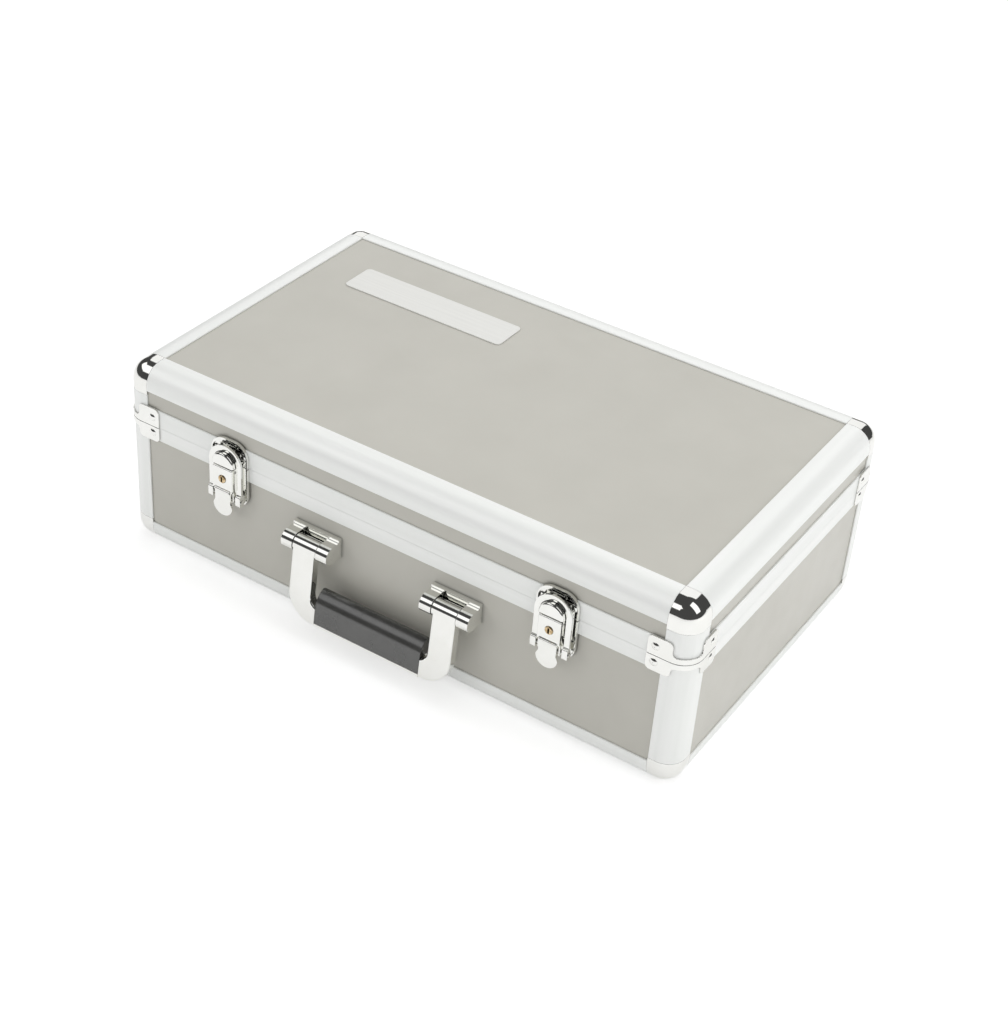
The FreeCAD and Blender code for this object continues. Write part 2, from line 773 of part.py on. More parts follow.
def rivets():
    """All rivets of the base and all rivets of the lid."""
    for half in ("base", "lid"):
        corner = group(f"{half}_corner_rivets", *rivet_row(f"{half}_brace", brace_rivet_spots(half)))
        fittings = rivet_row(f"{half}_hinge", hinge_rivet_spots(half))
        if half == "lid":
            fittings += rivet_row("strike", strike_rivet_spots())
        else:
            fittings += rivet_row("plate", plate_rivet_spots(), panel_inset + panel_thickness)
        pairs = both_sides(f"{half}_fitting_rivets", group(f"{half}_fitting_rivets_left", *fittings))
        finish(f"{half}_rivets", group(f"{half}_rivets", four_corners(f"{half}_brace_rivets", corner), pairs))


def foam():
    """The foam pads: closed solids that stand clear of the profiles round them."""
    wall = profile_wall + foam_gap
    long_end = half_length - wall
    short_end = half_width - wall
    floor_top = wall + floor_pad_thickness
    finish("base_floor_pad", box("base_floor_pad", (-long_end, -short_end, wall),
                                 (long_end, short_end, floor_top)))
    low = floor_top + foam_gap
    high = base_rim - lining_below_rim
    inner = long_end - lining_thickness
    inner_short = short_end - lining_thickness
    long_side = box("lining_front", (-long_end, -short_end, low), (long_end, -inner_short, high))
    short_side = box("lining_left", (-long_end, -inner_short + foam_gap, low),
                     (-inner, inner_short - foam_gap, high))
    finish("base_side_lining", group(
        "base_side_lining", long_side, mirrored("lining_back", long_side, Y_AXIS),
        short_side, mirrored("lining_right", short_side, X_AXIS)))
    top = case_height - wall
    finish("lid_foam_pad", box("lid_foam_pad", (-long_end, -short_end, top - lid_pad_thickness),
                               (long_end, short_end, top)))


def badge():
    """The bare plate on the lid."""
    low_x = -half_length + badge_from_left
    low_y = half_width - badge_from_back - badge_width
    plate = pad("badge_body", "XY_Plane", [(badge_length, 0), (badge_length, badge_width), (0, badge_width),
                                           (0, 0)], badge_thickness)
    round_body(plate, "badge_rounding", badge_round, lambda edge: along(edge, Z_AXIS))
    finish("badge_plate", put(plate, (low_x, low_y, case_height - panel_inset)))


def hinges():
    """Two hinges on the back, each with five knuckles round one pin."""
    axis_y = half_width + hinge_standoff
    left = -hinge_offset - hinge_width / 2
    step = hinge_width / HINGE_KNUCKLES
    leaf_in = half_width + fit_gap
    leaf_out = leaf_in + hinge_sheet
    clear = hinge_barrel_radius + hinge_leaf_gap
    for half, first in (("base", 0), ("lid", 1)):
        sign = -1 if half == "base" else 1
        far = hinge_leaf_drop if half == "base" else hinge_leaf_rise
        levels = sorted((parting_height + sign * clear, parting_height + sign * far), key=number)
        right = left + hinge_width
        pieces = [box(f"{half}_leaf_sheet", (left, leaf_in, levels[0]), (right, leaf_out, levels[1]))]
        for place in range(first, HINGE_KNUCKLES, 2):
            start = left + place * step + hinge_knuckle_gap / 2
            length = step - hinge_knuckle_gap
            pieces.append(rod(f"{half}_knuckle_{place}", hinge_barrel_radius, X_AXIS,
                              (start, axis_y, parting_height), length))
            web = sorted((parting_height, parting_height + sign * (clear + hinge_sheet)), key=number)
            pieces.append(box(f"{half}_knuckle_web_{place}", (start, leaf_in, web[0]),
                              (start + length, leaf_out, web[1])))
        leaf = fuse(f"{half}_leaf_whole", *pieces)
        bore = rod(f"{half}_leaf_bore", hinge_pin_radius + running_fit, X_AXIS,
                   (left - cut_overrun, axis_y, parting_height), hinge_width + 2 * cut_overrun)
        drilled = cut(f"{half}_leaf", leaf, bore, *hole_tools(f"{half}_leaf", hinge_rivet_spots(half)))
        finish(f"hinge_{half}_leaves", both_sides(f"hinge_{half}_leaves", drilled))
    head = hinge_pin_head
    pin = fuse(
        "hinge_pin",
        rod("hinge_pin_rod", hinge_pin_radius, X_AXIS, (left - head, axis_y, parting_height),
            hinge_width + 2 * head),
        rod("hinge_pin_head_left", hinge_barrel_radius - hinge_knuckle_gap, X_AXIS,
            (left - head - hinge_knuckle_gap, axis_y, parting_height), head),
        rod("hinge_pin_head_right", hinge_barrel_radius - hinge_knuckle_gap, X_AXIS,
            (left + hinge_width + hinge_knuckle_gap, axis_y, parting_height), head))
    finish("hinge_pins", both_sides("hinge_pins", pin))


def bolt_spots():
    """Places of the left bracket's two bolts."""
    return [(-bracket_offset + step * bolt_offset, pivot_height + bolt_drop) for step in (-1, 1)]


def front_holes():
    """Holes through the base's front panel for the handle bolts and the latch rivets."""
    tools = []
    start_y = -half_width
    depth = panel_inset + panel_thickness + cut_overrun
    for index, (x, z) in enumerate(bolt_spots()):
        for side, place in (("left", x), ("right", -x)):
            tools.append(rod(f"bolt_hole_{side}_{index}", bolt_radius + rivet_clearance, Y_AXIS,
                             (place, start_y, z), depth))
    for index, (place, way, surface) in enumerate(plate_rivet_spots()):
        for side, x in (("left", place[0]), ("right", -place[0])):
            tools.append(rod(f"latch_hole_{side}_{index}", rivet_radius + rivet_clearance, Y_AXIS,
                             (x, start_y, place[2]), depth))
    return tools


def plate_rivet_spots():
    """Places of the left latch plate's rivets, under the lever."""
    levels = (plate_rivet_low, plate_rivet_high)
    return [((-latch_offset, -half_width, level), Y_AXIS, latch_sheet) for level in levels]


def handle_brackets():
    """The clevis brackets: a back plate and two lower cheeks with round noses."""
    left = -bracket_offset - bracket_width / 2
    right = left + bracket_width
    back = -half_width + panel_inset
    front_of_plate = back - bracket_plate
    axis_y = -half_width - pivot_reach
    shoulder = pivot_height + knuckle_radius
    plate = box("bracket_back", (left, front_of_plate, bracket_bottom), (right, back, bracket_top))
    nose = rod("bracket_nose", knuckle_radius, X_AXIS, (left, axis_y, pivot_height), bracket_width)
    tail_back = front_of_plate + bracket_step
    outline = [
        (tail_back, bracket_bottom + bracket_tail), (tail_back, shoulder),
        (axis_y, shoulder), (axis_y, pivot_height - knuckle_radius),
    ]
    tail = put(pad("bracket_tail_body", "YZ_Plane", outline, bracket_width), (left, 0, 0))
    block = fuse("bracket_block", plate, nose, tail)
    slot = box("bracket_slot",
               (left + bracket_cheek, axis_y - knuckle_radius - cut_overrun,
                pivot_height - knuckle_radius - cut_overrun),
               (right - bracket_cheek, front_of_plate, bracket_top + cut_overrun))
    bore = rod("bracket_bore", handle_pin_radius + fit_gap / 2, X_AXIS,
               (left - cut_overrun, axis_y, pivot_height), bracket_width + 2 * cut_overrun)
    threads = [
        rod(f"bracket_thread_{index}", bolt_radius + rivet_clearance, -Y_AXIS, (x, back + cut_overrun, z),
            cut_overrun + bolt_reach + fit_gap)
        for index, (x, z) in enumerate(bolt_spots())]
    finish("handle_brackets", both_sides("handle_brackets", cut("bracket", block, slot, bore, *threads)))
    pin = rod("handle_pin", handle_pin_radius, X_AXIS, (left, axis_y, pivot_height), bracket_width)
    finish("handle_pins", both_sides("handle_pins", pin))
    bolts = []
    inside = -half_width + panel_inset + panel_thickness
    for index, (x, z) in enumerate(bolt_spots()):
        shank = rod(f"bolt_shank_{index}", bolt_radius, -Y_AXIS, (x, inside, z), inside - back + bolt_reach)
        head = rod(f"bolt_head_{index}", bolt_head_radius, Y_AXIS, (x, inside, z), bolt_head_height)
        bolts.append(fuse(f"bolt_{index}", shank, head))
    finish("handle_bolts", both_sides("handle_bolts", group("handle_bolts_left", *bolts)))


def hung(name, piece):
    """Swings a piece that is drawn round the handle's axis out to where the handle rests."""
    item = put(group(name, piece), (0, -half_width - pivot_reach, pivot_height),
               FreeCAD.Rotation(-X_AXIS, number(handle_tilt)))
    bind(item, ".Placement.Rotation.Angle", handle_tilt)
    return item


def handle():
    """The swinging handle, drawn hanging straight down from its own axis."""
    inner = bracket_offset - bracket_width / 2 + bracket_cheek + arm_side_gap
    outer = bracket_offset + bracket_width / 2 - bracket_cheek - arm_side_gap
    outline = [
        (-arm_inner_waist, 0), (-arm_inner_waist, -arm_shoulder_drop),
        (-arm_toe, -arm_toe_drop, arm_toe_round),
        (-arm_toe, -handle_drop), (-arm_outer_edge + arm_elbow_round, -handle_drop),
        (-arm_outer_edge, -handle_drop + arm_elbow_round, -arm_elbow_round), (-outer, 0),
    ]
    blade = pad("arm_blade", "XZ_Plane", outline, arm_thickness)
    round_body(blade, "arm_rounding", arm_front_round, lambda edge: near(
        middle(edge).y, -arm_thickness) and middle(edge).x < -number(arm_inner_waist))
    put(blade, (0, arm_thickness - arm_face, 0))
    knuckle = rod("arm_knuckle", arm_knuckle_radius, X_AXIS, (-outer, 0, 0), outer - inner)
    bore = rod("arm_bore", handle_pin_radius + running_fit, X_AXIS, (-outer - cut_overrun, 0, 0),
               outer - inner + 2 * cut_overrun)
    arm = cut("arm", fuse("arm_whole", blade, knuckle), bore)
    finish("handle_arm_left", hung("handle_arm_left", arm))
    finish("handle_arm_right", hung("handle_arm_right", mirrored("arm_right", arm, X_AXIS)))

    bar_end = arm_toe - fit_gap
    strip_top = -handle_drop + bar_strip
    core_front = -bar_core_depth + bar_core_back
    strip = box("bar_strip_piece", (-bar_end, -arm_face, -handle_drop),
                (bar_end, grip_back - grip_heel, strip_top))
    core = box("bar_core", (-bar_end, core_front, strip_top - fit_gap),
               (bar_end, bar_core_back, strip_top + bar_core_height))
    finish("handle_bar", hung("handle_bar", fuse("handle_bar_whole", strip, core)))

    grip_end = arm_toe - grip_end_gap
    base = strip_top + fit_gap
    section = pad("grip_body", "YZ_Plane", [
        (-arm_face, base), (grip_back - grip_heel, base), (grip_back, base + grip_heel),
        (grip_back, -grip_back_drop), (grip_crest_back, -grip_crest_drop, grip_back_round),
        (-arm_face, -grip_face_drop, grip_front_round),
    ], 2 * grip_end)
    put(section, (-grip_end, 0, 0))
    channel = box("grip_channel", (-grip_end - cut_overrun, core_front - fit_gap, base - cut_overrun),
                  (grip_end + cut_overrun, bar_core_back + fit_gap, strip_top + bar_core_height + fit_gap))
    finish("handle_grip", hung("handle_grip", cut("grip_cut", section, channel)))


def dish(name, low, high, radius, round_low, inset, depth, start):
    """A plate of one latch with two rounded corners, raised outward from the front by depth."""
    half = latch_half_width - inset
    bottom = low + inset
    top = high - inset
    turn = radius - inset
    if round_low:
        outline = [
            (half, top), (-half, top), (-half, bottom + turn), (-half + turn, bottom, turn),
            (half - turn, bottom), (half, bottom + turn, turn),
        ]
    else:
        outline = [
            (half, bottom), (half, top - turn), (half - turn, top, turn), (-half + turn, top),
            (-half, top - turn, turn), (-half, bottom),
        ]
    return put(pad(name, "XZ_Plane", outline, depth), (-latch_offset, start, 0))


def latch_plates():
    """The fixed half of each latch: a dished plate with two ears for the lever's pin."""
    front = -half_width
    top = base_rim - latch_sheet_gap
    whole = dish("plate_whole", plate_bottom, top, plate_round, True, 0, latch_rim, front)
    hollow = dish("plate_hollow", plate_bottom, top + latch_rim_wall, plate_round, True, latch_rim_wall,
                  latch_rim, front - latch_sheet)
    ear_top = lever_pivot_height + ear_pin_wall
    ear_front = front - latch_pivot_reach - ear_pin_wall
    pin_y = front - latch_pivot_reach
    ears = []
    for side, sign in (("left", -1), ("right", 1)):
        centre = -latch_offset + sign * (ear_inner + ear_sheet / 2)
        low_x = centre - ear_sheet / 2
        high_x = centre + ear_sheet / 2
        stem = box(f"ear_stem_{side}", (low_x, ear_front, ear_bottom), (high_x, front - latch_sheet / 2,
                                                                    lever_pivot_height))
        neck = box(f"ear_neck_{side}", (low_x, pin_y, ear_bottom), (high_x, front - latch_sheet / 2, ear_top))
        eye = rod(f"ear_eye_{side}", ear_pin_wall, X_AXIS, (low_x, pin_y, lever_pivot_height), ear_sheet)
        ears += [stem, neck, eye]
    body = fuse("plate_with_ears", cut("plate_dish", whole, hollow), *ears)
    pin_hole = rod("plate_pin_hole", latch_pin_radius + fit_gap / 2, X_AXIS,
                   (-latch_offset - latch_half_width, pin_y, lever_pivot_height), 2 * latch_half_width)
    cam_y = front - lock_back
    window = box("plate_cam_window",
                 (-latch_offset + ear_inner - cut_overrun, cam_y - cam_clearance, ear_bottom - cut_overrun),
                 (-latch_offset + ear_inner + ear_sheet + cut_overrun, cam_y + cam_thickness + cam_clearance,
                  lock_height + cam_half_width + cam_clearance))
    plate = cut("latch_plate", body, pin_hole, window, *hole_tools("plate", plate_rivet_spots()))
    finish("latch_plates", both_sides("latch_plates", plate))
    pin_half = lever_half_width - fit_gap
    pin = rod("latch_pin", latch_pin_radius, X_AXIS, (-latch_offset - pin_half, pin_y, lever_pivot_height),
              2 * pin_half)
    finish("latch_pins", both_sides("latch_pins", pin))


def latch_strikes():
    """The half of each latch on the lid: a dished plate with a slotted land and a tongue for the hasp."""
    front = -half_width
    low = lid_rim + latch_sheet_gap
    whole = dish("strike_whole", low, strike_top, strike_round, False, 0, latch_rim, front)
    hollow = dish("strike_hollow", low - latch_rim_wall, strike_top - strike_land, strike_hollow_round, False,
                  latch_rim_wall, latch_rim, front - latch_sheet)
    tongue_front = front - hasp_back + latch_sheet_gap
    left = -latch_offset - tongue_half_width
    right = -latch_offset + tongue_half_width
    shelf = box("strike_shelf", (left, tongue_front, strike_tongue_height),
                (right, front - latch_sheet / 2, strike_tongue_height + latch_sheet))
    lip = box("strike_lip", (left, tongue_front, strike_tongue_height),
              (right, tongue_front + latch_sheet, strike_tongue_height + strike_tongue_lip))
    body = fuse("strike_body", cut("strike_dish", whole, hollow), shelf, lip)
    slot_front = front - latch_rim - cut_overrun
    slot_depth = latch_rim + cut_overrun - latch_sheet / 2
    slot_height = strike_top - strike_slot_drop
    slot_reach = strike_slot_half - strike_slot_radius
    slot = [
        box("strike_slot_middle", (-latch_offset - slot_reach, slot_front, slot_height - strike_slot_radius),
            (-latch_offset + slot_reach, slot_front + slot_depth, slot_height + strike_slot_radius)),
        rod("strike_slot_left", strike_slot_radius, Y_AXIS,
            (-latch_offset - slot_reach, slot_front, slot_height), slot_depth),
        rod("strike_slot_right", strike_slot_radius, Y_AXIS,
            (-latch_offset + slot_reach, slot_front, slot_height), slot_depth),
    ]
    strike = cut("latch_strike", body, *slot, *hole_tools("strike", strike_rivet_spots()))
    finish("latch_strikes", both_sides("latch_strikes", strike))


def latch_levers():
    """The lever: a front plate with a finger tab, two side flanges and a sleeve for the lock."""
    front = -half_width
    face = front - lever_face
    inner = face + lever_sheet
    half = lever_half_width
    outline = [
        (half, lever_top), (-half, lever_top), (-half, lever_fold), (-tab_neck, lever_fold),
        (-tab_waist, tab_waist_height), (-tab_round, tab_bottom + tab_round),
        (0, tab_bottom, tab_round), (tab_round, tab_bottom + tab_round, tab_round),
        (tab_waist, tab_waist_height), (tab_neck, lever_fold), (half, lever_fold),
    ]
    blank = round_body(pad("lever_plate", "XZ_Plane", outline, lever_sheet), "lever_top_rounding", lever_top_round,
                       lambda edge: along(edge, X_AXIS) and near(middle(edge).y, -lever_sheet) and near(
                           middle(edge).z, lever_top))
    plate = put(blank, (-latch_offset, inner, 0))
    flanges = []
    for side, sign in (("left", -1), ("right", 1)):
        centre = -latch_offset + sign * (half - lever_flange / 2)
        blank = box(f"lever_flange_{side}_blank",
                    (centre - lever_flange / 2, face + lever_sheet / 2, lever_flange_bottom),
                    (centre + lever_flange / 2, front - lever_flange_back, lever_top))
        rounded = round_edges(
            f"lever_flange_{side}_rounded", blank, lever_flange_round,
            lambda edge: along(edge, X_AXIS) and near(middle(edge).y, front - lever_flange_back))
        relief = box(f"lever_flange_{side}_relief",
                     (centre - lever_flange, face - cut_overrun, lever_flange_bottom - cut_overrun),
                     (centre + lever_flange, face + lever_flange_relief, lever_fold))
        flanges.append(cut(f"lever_flange_{side}", rounded, relief))
    bead = rod("lever_bead_rod", lever_bead, X_AXIS,
               (-latch_offset - tab_neck, face, lever_fold), 2 * tab_neck)
    sleeve_start = inner - lever_sheet / 2
    sleeve = rod("lever_sleeve", lock_radius + lock_sleeve_wall, Y_AXIS,
                 (-latch_offset, sleeve_start, lock_height), front - lock_back - sleeve_start)
    body = fuse("lever_body", plate, bead, sleeve, *flanges)
    pin_y = front - latch_pivot_reach
    side = -latch_offset - latch_half_width
    upper = rod("lever_upper_hole", latch_pin_radius + running_fit, X_AXIS,
                (side, pin_y, lever_pivot_height), 2 * latch_half_width)
    lower = rod("lever_lower_hole", latch_pin_radius + fit_gap / 2, X_AXIS,
                (side, pin_y, bail_pivot_height), 2 * latch_half_width)
    lock_hole = rod("lever_lock_hole", lock_radius + running_fit, Y_AXIS,
                    (-latch_offset, face - cut_overrun, lock_height), lever_face + cut_overrun)
    lever = cut("latch_lever", body, upper, lower, lock_hole)
    finish("latch_lever_left", group("latch_lever_left", lever))
    finish("latch_lever_right", mirrored("latch_lever_right", lever, X_AXIS))


def latch_hasps():
    """The hasp: a flat loop with a domed top, which pivots low on the lever's sides."""
    front = -half_width
    back = front - hasp_back
    pin_y = front - latch_pivot_reach
    arch = hasp_top - hasp_half_width
    inner = hasp_half_width - hasp_strip
    foot = bail_pivot_height
    outline = [
        (hasp_half_width, foot), (hasp_half_width, arch), (0, hasp_top, hasp_half_width),
        (-hasp_half_width, arch, hasp_half_width), (-hasp_half_width, foot), (-inner, foot),
        (-inner, arch), (0, arch + inner, -inner), (inner, arch, -inner), (inner, foot),
    ]
    loop = put(pad("hasp_loop", "XZ_Plane", outline, hasp_sheet), (-latch_offset, back, 0))
    feet = []
    for side, start in (("left", -hasp_half_width), ("right", inner)):
        blank = box(f"hasp_foot_{side}_blank",
                    (-latch_offset + start, pin_y - hasp_foot_half, foot - hasp_foot_drop),
                    (-latch_offset + start + hasp_strip, pin_y + hasp_foot_half, foot + hasp_foot_rise))
        feet.append(round_edges(f"hasp_foot_{side}", blank, hasp_foot_round, lambda edge: along(edge, X_AXIS)))
    web_radius = inner + hasp_strip / 2
    web = rod("hasp_web_disc", web_radius, Y_AXIS, (-latch_offset, back - hasp_web, arch), hasp_web)
    dome_disc = rod("dome_disc", dome_radius, Y_AXIS,
                    (-latch_offset, front - dome_face, arch), dome_face - hasp_back)
    domed = round_edges("dome_rounded", dome_disc, dome_round,
                        lambda edge: edge.Curve.TypeId == "Part::GeomCircle" and near(
                            middle(edge).y, front - dome_face))
    below = box("hasp_below",
                (-latch_offset - inner, front - dome_face - cut_overrun, arch - hasp_half_width),
                (-latch_offset + inner, back + cut_overrun, dome_bottom))
    body = fuse("hasp_body", loop, *feet, cut("hasp_head", fuse("hasp_head_whole", web, domed), below))
    hole = rod("hasp_pin_hole", latch_pin_radius + running_fit, X_AXIS,
               (-latch_offset - hasp_half_width - cut_overrun, pin_y, foot),
               2 * (hasp_half_width + cut_overrun))
    hasp = cut("latch_hasp", body, hole)
    finish("latch_hasp_left", group("latch_hasp_left", hasp))
    finish("latch_hasp_right", mirrored("latch_hasp_right", hasp, X_AXIS))
    reach = hasp_half_width + fit_gap
    half_rod = reach + pin_head_height / 2
    pin = fuse(
        "hasp_pin",
        rod("hasp_pin_rod", latch_pin_radius, X_AXIS, (-latch_offset - half_rod, pin_y, foot), 2 * half_rod),
        rod("hasp_pin_head_left", pin_head_radius, X_AXIS,
            (-latch_offset - reach - pin_head_height, pin_y, foot), pin_head_height),
        rod("hasp_pin_head_right", pin_head_radius, X_AXIS, (-latch_offset + reach, pin_y, foot),
            pin_head_height))
    finish("hasp_pin_left", group("hasp_pin_left", pin))
    finish("hasp_pin_right", mirrored("hasp_pin_right", pin, X_AXIS))


def locks():
    """The lock: a plug with a keyway, and a cam behind it that hangs down while unlocked."""
    front = -half_width
    face = front - lock_face
    back = front - lock_back
    plug_rod = rod("lock_plug_rod", lock_radius, Y_AXIS, (-latch_offset, face, lock_height), lock_face - lock_back)
    plug = round_edges("lock_plug", plug_rod, lock_round,
                       lambda edge: edge.Curve.TypeId == "Part::GeomCircle" and near(middle(edge).y, face))
    cam = box("lock_cam", (-latch_offset - cam_half_width, back, lock_height - cam_length),
              (-latch_offset + cam_half_width, back + cam_thickness, lock_height + cam_half_width))
    slot_low = lock_height - keyway_height / 2
    keyway = box("lock_keyway", (-latch_offset - keyway_width / 2, face - cut_overrun, slot_low),
                 (-latch_offset + keyway_width / 2, face + keyway_depth, slot_low + keyway_height))
    lock = cut("lock", fuse("lock_whole", plug, cam), keyway)
    finish("latch_lock_left", group("latch_lock_left", lock))
    finish("latch_lock_right", mirrored("latch_lock_right", lock, X_AXIS))


def build():
    edge_profiles()
    closing_frames()
    corner_posts()
    corner_caps()
    panels()
    corner_braces()
    rivets()
    foam()
    badge()
    hinges()
    handle_brackets()
    handle()
    latch_plates()
    latch_strikes()
    latch_levers()
    latch_hasps()
    locks()
    document.recompute()


def write():
    """Checks every object, then writes each sub-part to its own file."""
    for item in document.Objects:
        if "Invalid" in item.State or "Error" in item.State:
            raise RuntimeError(f"{item.Label} is {item.State}")
    for label, item in finish.items.items():
        if item.Shape.isNull() or not item.Shape.isValid() or not item.Shape.Solids:
            raise RuntimeError(f"{label} has no valid shape")
    os.makedirs("parts", exist_ok=True)
    for label, item in finish.items.items():
        item.Shape.exportStep(f"parts/{label}.step")
    solids = sum(len(item.Shape.Solids) for item in finish.items.values())
    print(len(finish.items), "sub-parts,", solids, "solids")


build()
write()
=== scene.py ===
import json
import math

import bpy
import numpy as np
from mathutils import Matrix, Vector

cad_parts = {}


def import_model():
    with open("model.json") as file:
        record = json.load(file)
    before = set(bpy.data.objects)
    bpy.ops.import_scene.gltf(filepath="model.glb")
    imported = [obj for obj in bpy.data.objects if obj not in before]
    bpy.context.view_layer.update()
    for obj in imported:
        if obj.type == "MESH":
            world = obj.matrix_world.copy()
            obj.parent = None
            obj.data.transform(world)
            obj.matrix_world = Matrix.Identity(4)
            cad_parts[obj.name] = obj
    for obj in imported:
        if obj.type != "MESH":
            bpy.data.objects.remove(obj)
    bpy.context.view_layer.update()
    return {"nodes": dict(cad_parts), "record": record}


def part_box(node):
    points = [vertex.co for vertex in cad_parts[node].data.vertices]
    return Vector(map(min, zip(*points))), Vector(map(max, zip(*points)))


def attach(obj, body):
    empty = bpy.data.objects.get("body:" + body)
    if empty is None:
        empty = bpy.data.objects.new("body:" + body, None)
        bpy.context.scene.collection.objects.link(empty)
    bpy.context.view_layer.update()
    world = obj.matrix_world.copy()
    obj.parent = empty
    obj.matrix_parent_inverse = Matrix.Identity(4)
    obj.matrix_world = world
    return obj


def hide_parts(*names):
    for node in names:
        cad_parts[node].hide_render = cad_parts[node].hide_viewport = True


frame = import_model()
NODES = frame["nodes"]


def linear(*channels):
    """Turns display colour channels from 0 to 255 into the linear ones that shaders take."""
    values = [channel / 255 for channel in channels]
    return tuple(v / 12.92 if v <= 0.04045 else ((v + 0.055) / 1.055) ** 2.4 for v in values) + (1.0,)


class Shader:
    """A node material with one Principled shader and helpers that build its textures."""

    def __init__(self, name, colour, roughness, metallic=0.0, **sockets):
        self.material = bpy.data.materials.new(name)
        self.material.use_nodes = True
        self.tree = self.material.node_tree
        self.shader = self.tree.nodes["Principled BSDF"]
        self.set("Base Color", colour)
        self.set("Roughness", roughness)
        self.set("Metallic", metallic)
        for socket, value in sockets.items():
            self.set(socket.replace("_", " "), value)
        self.place = self.node("ShaderNodeTexCoord").outputs["Object"]

    def node(self, kind, **settings):
        node = self.tree.nodes.new(kind)
        for name, value in settings.items():
            setattr(node, name, value)
        return node

    def set(self, socket, value):
        self.shader.inputs[socket].default_value = value

    def link(self, output, target):
        self.tree.links.new(output, target)

    def stretched(self, scale):
        mapping = self.node("ShaderNodeMapping")
        mapping.inputs["Scale"].default_value = scale
        self.link(self.place, mapping.inputs["Vector"])
        return mapping.outputs["Vector"]

    def noise(self, scale, detail=4.0, stretch=(1, 1, 1), rough=0.55):
        noise = self.node("ShaderNodeTexNoise")
        noise.inputs["Scale"].default_value = scale
        noise.inputs["Detail"].default_value = detail
        noise.inputs["Roughness"].default_value = rough
        self.link(self.stretched(stretch), noise.inputs["Vector"])
        return noise.outputs["Fac"]

    def cells(self, scale, stretch=(1, 1, 1)):
        cells = self.node("ShaderNodeTexVoronoi")
        cells.inputs["Scale"].default_value = scale
        self.link(self.stretched(stretch), cells.inputs["Vector"])
        return cells.outputs["Distance"]

    def ramp(self, value, low, high, start=0.35, end=0.65):
        """Maps a texture's value between start and end to a range of numbers or colours."""
        if isinstance(low, tuple):
            ramp = self.node("ShaderNodeValToRGB")
            ramp.color_ramp.elements[0].position = start
            ramp.color_ramp.elements[1].position = end
            ramp.color_ramp.elements[0].color = low
            ramp.color_ramp.elements[1].color = high
            self.link(value, ramp.inputs["Fac"])
            return ramp.outputs["Color"]
        ramp = self.node("ShaderNodeMapRange")
        for socket, number in (("From Min", start), ("From Max", end), ("To Min", low), ("To Max", high)):
            ramp.inputs[socket].default_value = number
        self.link(value, ramp.inputs["Value"])
        return ramp.outputs["Result"]

    def add(self, first, second):
        total = self.node("ShaderNodeMath", operation="ADD")
        self.link(first, total.inputs[0])
        self.link(second, total.inputs[1])
        return total.outputs["Value"]

    def colour(self, value, low, high, start=0.35, end=0.65):
        self.link(self.ramp(value, low, high, start, end), self.shader.inputs["Base Color"])

    def gloss(self, value, low, high, start=0.35, end=0.65):
        self.link(self.ramp(value, low, high, start, end), self.shader.inputs["Roughness"])

    def paint_shade_in_hollows(self, reach, darkest, start=0.35, end=0.85):
        """Paints shade into the base colour, and any texture in it: darker in gaps and hollows within the
        reach, where nearby parts block the light.
        """
        occlusion = self.node("ShaderNodeAmbientOcclusion", samples=8)
        occlusion.inputs["Distance"].default_value = reach
        factor = self.ramp(occlusion.outputs["AO"], darkest, 1.0, start, end)
        scaled = self.node("ShaderNodeVectorMath", operation="SCALE")
        self.link(self.shader.inputs["Base Color"].links[0].from_socket, scaled.inputs[0])
        self.link(factor, scaled.inputs["Scale"])
        self.link(scaled.outputs["Vector"], self.shader.inputs["Base Color"])

    def relief(self, value, height, strength=1.0, edge=0.0):
        """Bumps the surface by the value times a height in metres, over edges softened by a radius."""
        bump = self.node("ShaderNodeBump")
        bump.inputs["Strength"].default_value = strength
        bump.inputs["Distance"].default_value = height
        self.link(value, bump.inputs["Height"])
        if edge:
            bevel = self.node("ShaderNodeBevel", samples=4)
            bevel.inputs["Radius"].default_value = edge
            self.link(bevel.outputs["Normal"], bump.inputs["Normal"])
        self.link(bump.outputs["Normal"], self.shader.inputs["Normal"])


PANEL_PALE = linear(200, 198, 189)
PANEL_DEEP = linear(195, 193, 184)


def laminate_material():
    """Light grey laminate: a faint cloud in the colour, a fine pebble and a soft sheen."""
    made = Shader("laminate_grey", PANEL_PALE, 0.34, Coat_Weight=0.25, Coat_Roughness=0.12)
    made.colour(made.noise(14, 6), PANEL_DEEP, PANEL_PALE, 0.3, 0.7)
    # Painted shade: the panel's colour darkens along the steps where it meets the profiles' lips, and in
    # other gaps.
    made.paint_shade_in_hollows(0.004, 0.5, 0.4, 0.8)
    made.gloss(made.noise(60, 3), 0.30, 0.38)
    pebble = made.add(made.noise(900, 2), made.ramp(made.noise(9, 2), 0.0, 1.5))
    made.relief(pebble, 0.00002, 0.25)
    return made.material


def profile_material(name, stretch):
    """Satin anodised aluminium with the faint drawing lines of an extrusion along its run."""
    made = Shader(name, linear(251, 253, 250), 0.38, 0.12)
    lines = made.noise(420, 4, stretch)
    made.colour(made.noise(90, 3, stretch), linear(246, 248, 245), linear(254, 255, 253), 0.3, 0.7)
    made.gloss(lines, 0.32, 0.46)
    made.relief(lines, 0.00002, 0.3, 0.0003)
    return made.material


def chrome_material(name, tone, roughness, scratch, edge):
    """Bright plating with a faint haze and hairline scratches."""
    made = Shader(name, linear(tone, tone, tone - 3), roughness, 1.0)
    made.colour(made.noise(40, 3), linear(tone - 5, tone - 5, tone - 9), linear(tone, tone, tone - 3))
    # Painted shade: the plating's colour darkens in the gaps and hollows between and inside the fittings.
    made.paint_shade_in_hollows(0.0012, 0.25, 0.3, 0.85)
    made.gloss(made.noise(160, 4, (1, 1, 3)), roughness * 0.7, roughness * 1.4)
    made.relief(made.noise(700, 3, (0.2, 1, 1)), 0.000006, scratch, edge)
    return made.material


